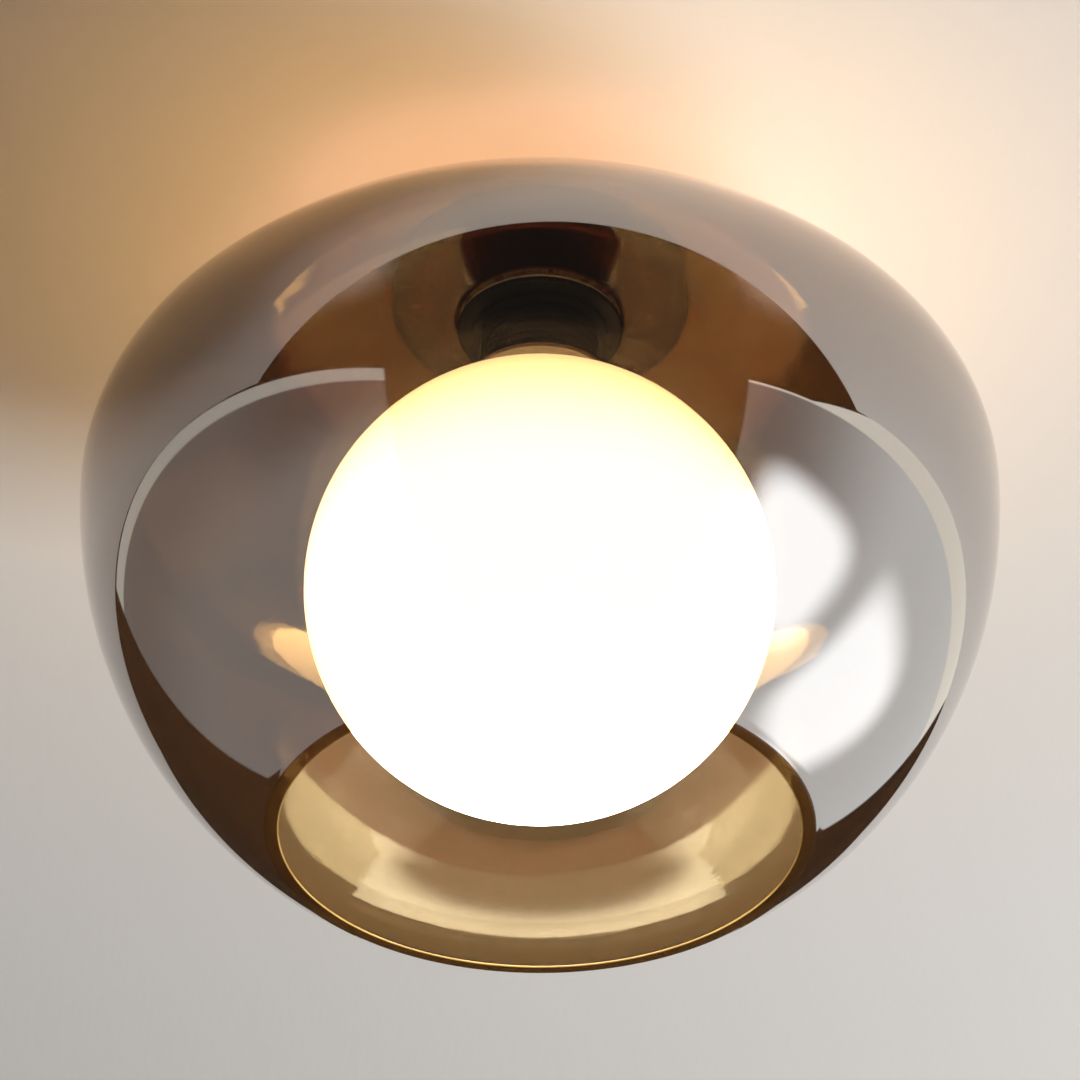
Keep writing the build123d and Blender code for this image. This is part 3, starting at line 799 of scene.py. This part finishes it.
def makeCeiling():
    corners = [(x, y, ceiling["lift"]) for x, y in ceiling["corners"]]
    mesh = bpy.data.meshes.new("ceilingBoard")
    mesh.from_pydata(corners, [], [(0, 1, 2, 3)])  # wound to face down
    mesh.materials.append(paintedBoard())
    made = addObject("ceilingBoard", mesh)
    return made


# Places in the studio are in degrees: turn from +Y towards +X, and rise above the horizon
studio = {
    "dark": (0.012, 0.011, 0.010, 1),
    "backDark": (0.028, 0.021, 0.017, 1),
    "backLeft": (-60, -42),
    "backRight": (60, 38),
    "floor": (0.55, 0.53, 0.50, 1),
    "floorRise": (-52, -72),
    "above": (0.62, 0.62, 0.61, 1),  # over the ceiling, for a look from there
    "aboveTurn": (143, 130),
    "aboveRise": (21, 38),
    "backdrop": (0.83, 0.81, 0.78, 1),
    "fill": 0.22,  # how much of what is seen of the studio lights the lamp
    "softbox": (2.25, 2.28, 2.30, 1),
    "softboxFade": (1.22, 0.66),
    "sideEdge": 0.5,
    "wallEdge": 0.3,
    "stripEdge": 0.2,
}
leftWall = {
    "span": (-138, -42.5),
    "top": 15.3,
    "peak": -60,
    "sag": 447,
    "low": (0.29, 0.285, 0.275, 1),
    "high": (0.20, 0.19, 0.18, 1),
    "lowRise": (10, -14),
    "shade": (0.14, 0.13, 0.12, 1),
    "shadeTurn": (-90, -116),
    "shadeRise": (-12, 4),
    "strip": (0.60, 0.58, 0.52, 1),
    "stripDepth": 3.0,
}
rightWall = {
    "span": (38, 137.5),
    "top": 13.0,
    "peak": 60,
    "sag": 850,
    "far": (0.88, 0.90, 0.89, 1),
    "near": (0.22, 0.21, 0.20, 1),
    "farTurn": (132, 84),
    "strip": (1.15, 1.10, 0.98, 1),
    "stripDepth": 7.0,  # at its deepest, thinning out to both sides
    "stripThinning": 571,
    "stripLeast": 0.5,
}
nearSoftbox = {"turn": 113, "rise": -22, "halfTurn": 17, "halfRise": 15}
farSoftbox = {"turn": 73, "rise": -22.5, "halfTurn": 15, "halfRise": 19}


def softbox(g, turn, rise, box):  # 1 in the box, falling off softly round it
    across = (turn - box["turn"]) / box["halfTurn"]
    along = (rise - box["rise"]) / box["halfRise"]
    away = (across ** 4 + along ** 4) ** 0.25
    return g.step(away, *studio["softboxFade"])


def addWall(g, colour, turn, rise, wall, paint, depth):  # a side wall, with a pale strip on its arched top
    start, end = wall["span"]
    soft = studio["sideEdge"]
    side = g.step(turn, start - soft, start + soft) * g.step(turn, end + soft, end - soft)
    top = wall["top"] - (turn - wall["peak"]) ** 2 / wall["sag"]
    stripTop = top + depth
    wallEdge, stripEdge = studio["wallEdge"], studio["stripEdge"]
    strip = g.step(rise, top - wallEdge, top + stripEdge) * g.step(rise, stripTop, stripTop - stripEdge)
    colour = g.blend(side * g.step(rise, top + wallEdge, top), colour, paint)
    return g.blend(side * strip, colour, wall["strip"])


def makeWorld():  # a studio round the lamp: two side walls, two softboxes and a floor
    world = bpy.data.worlds.new("studioWorld")
    bpy.context.scene.world = world
    world.use_nodes = True
    g = Graph(world.node_tree)
    x, y, z = g.split(g.node("ShaderNodeTexCoord", None, None, "Generated"))
    turn = x.math("ARCTAN2", y) * degrees(1)
    rise = z.math("ARCSINE") * degrees(1)
    leftPaint = g.blend(g.step(rise, *leftWall["lowRise"]), leftWall["high"], leftWall["low"])
    shadow = g.step(turn, *leftWall["shadeTurn"]) * g.step(rise, *leftWall["shadeRise"])
    leftPaint = g.blend(shadow, leftPaint, leftWall["shade"])
    rightPaint = g.blend(g.step(turn, *rightWall["farTurn"]), rightWall["near"], rightWall["far"])
    thinning = (turn - rightWall["peak"]) ** 2 / rightWall["stripThinning"]
    rightDepth = (rightWall["stripDepth"] - thinning).math("MAXIMUM", rightWall["stripLeast"])
    behind = g.step(turn, *studio["backLeft"]) * g.step(turn, *studio["backRight"])
    colour = g.blend(behind, studio["dark"], studio["backDark"])
    colour = addWall(g, colour, turn, rise, leftWall, leftPaint, leftWall["stripDepth"])
    colour = addWall(g, colour, turn, rise, rightWall, rightPaint, rightDepth)
    boxes = softbox(g, turn, rise, nearSoftbox) + softbox(g, turn, rise, farSoftbox)
    colour = g.blend(boxes.math("MINIMUM", 1.0), colour, studio["softbox"])
    colour = g.blend(g.step(rise, *studio["floorRise"]), colour, studio["floor"])
    aside = g.step(turn.math("ABSOLUTE"), *studio["aboveTurn"])
    colour = g.blend(g.step(rise, *studio["aboveRise"]) * aside, colour, studio["above"])
    camera, glossy = g.node("ShaderNodeLightPath", None, None, ("Is Camera Ray", "Is Glossy Ray"))
    colour = g.blend(camera, colour, studio["backdrop"])
    level = glossy.math("MAXIMUM", camera) * (1 - studio["fill"]) + studio["fill"]
    colour = g.blend(level, (0, 0, 0, 1), colour)
    light = g.node("ShaderNodeBackground", None, {"Color": colour})
    g.node("ShaderNodeOutputWorld", None, {"Surface": light})


keyLight = {
    "power": 60.0,
    "size": 1.3,
    "colour": (1.0, 0.985, 0.965),
    "place": (1.98, 0.42, -1.27),
    "aim": (0.1, 0, 0),
}
topGlow = {
    "power": 0.70,
    "size": 0.07,
    "colour": (1.0, 0.58, 0.25),
    "forward": 0.03,
    "lift": 0.03,
}


def addLamp(name, kind, values):
    data = bpy.data.lights.new(name, kind)
    data.energy = values["power"]
    data.color = values["colour"]
    lamp = addObject(name, data)
    lamp.visible_camera = False
    lamp.visible_glossy = False
    return lamp


def makeKey():  # the main light, low on the right
    lamp = addLamp("keyLight", "AREA", keyLight)
    lamp.data.size = keyLight["size"]
    spot = Vector(keyLight["place"])
    away = Vector(keyLight["aim"]) - spot
    lamp.matrix_world = Matrix.Translation(spot) @ away.to_track_quat("-Z", "Y").to_matrix().to_4x4()


def makeTopGlow(board):  # what the globe throws up through the shade, on the ceiling alone
    lamp = addLamp("topGlow", "POINT", topGlow)
    lamp.data.shadow_soft_size = topGlow["size"]
    low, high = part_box("globe")
    lamp.location = (0, -topGlow["forward"], low.z + high.x + topGlow["lift"])
    lit = bpy.data.collections.new("glowLit")
    lit.objects.link(board)
    shading = bpy.data.collections.new("glowShading")
    shading.objects.link(nodes["canopy"])
    lamp.light_linking.receiver_collection = lit
    lamp.light_linking.blocker_collection = shading


photoView = {
    "distance": 1.35,  # camera to the centre of the shade's rim
    "rise": 31.8,  # degrees below the horizon
    "turn": 6.2,  # degrees to the left of straight on
    "tilt": 3.9,  # degrees that the camera points above the rim
    "lens": 144.4,
    "sensor": 36,
}


def makeCamera():
    rise, turn, tilt = (radians(photoView[key]) for key in ("rise", "turn", "tilt"))
    rim = Vector((0, 0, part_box("shade")[0].z))
    look = Vector((sin(turn) * cos(rise), cos(turn) * cos(rise), sin(rise)))
    right = look.cross(Vector((0, 0, 1))).normalized()
    up = right.cross(look)
    aim = look * cos(tilt) + up * sin(tilt)
    top = up * cos(tilt) - look * sin(tilt)
    data = bpy.data.cameras.new("camera")
    data.lens = photoView["lens"]
    data.sensor_width = photoView["sensor"]
    camera = addObject("camera", data)
    turned = Matrix((right, top, -aim)).transposed().to_4x4()
    camera.matrix_world = Matrix.Translation(rim - look * photoView["distance"]) @ turned
    bpy.context.scene.camera = camera


board = makeCeiling()
makeWorld()
makeKey()
makeTopGlow(board)
makeCamera()
bpy.context.scene.view_settings.view_transform = "Standard"
print("studio ready")
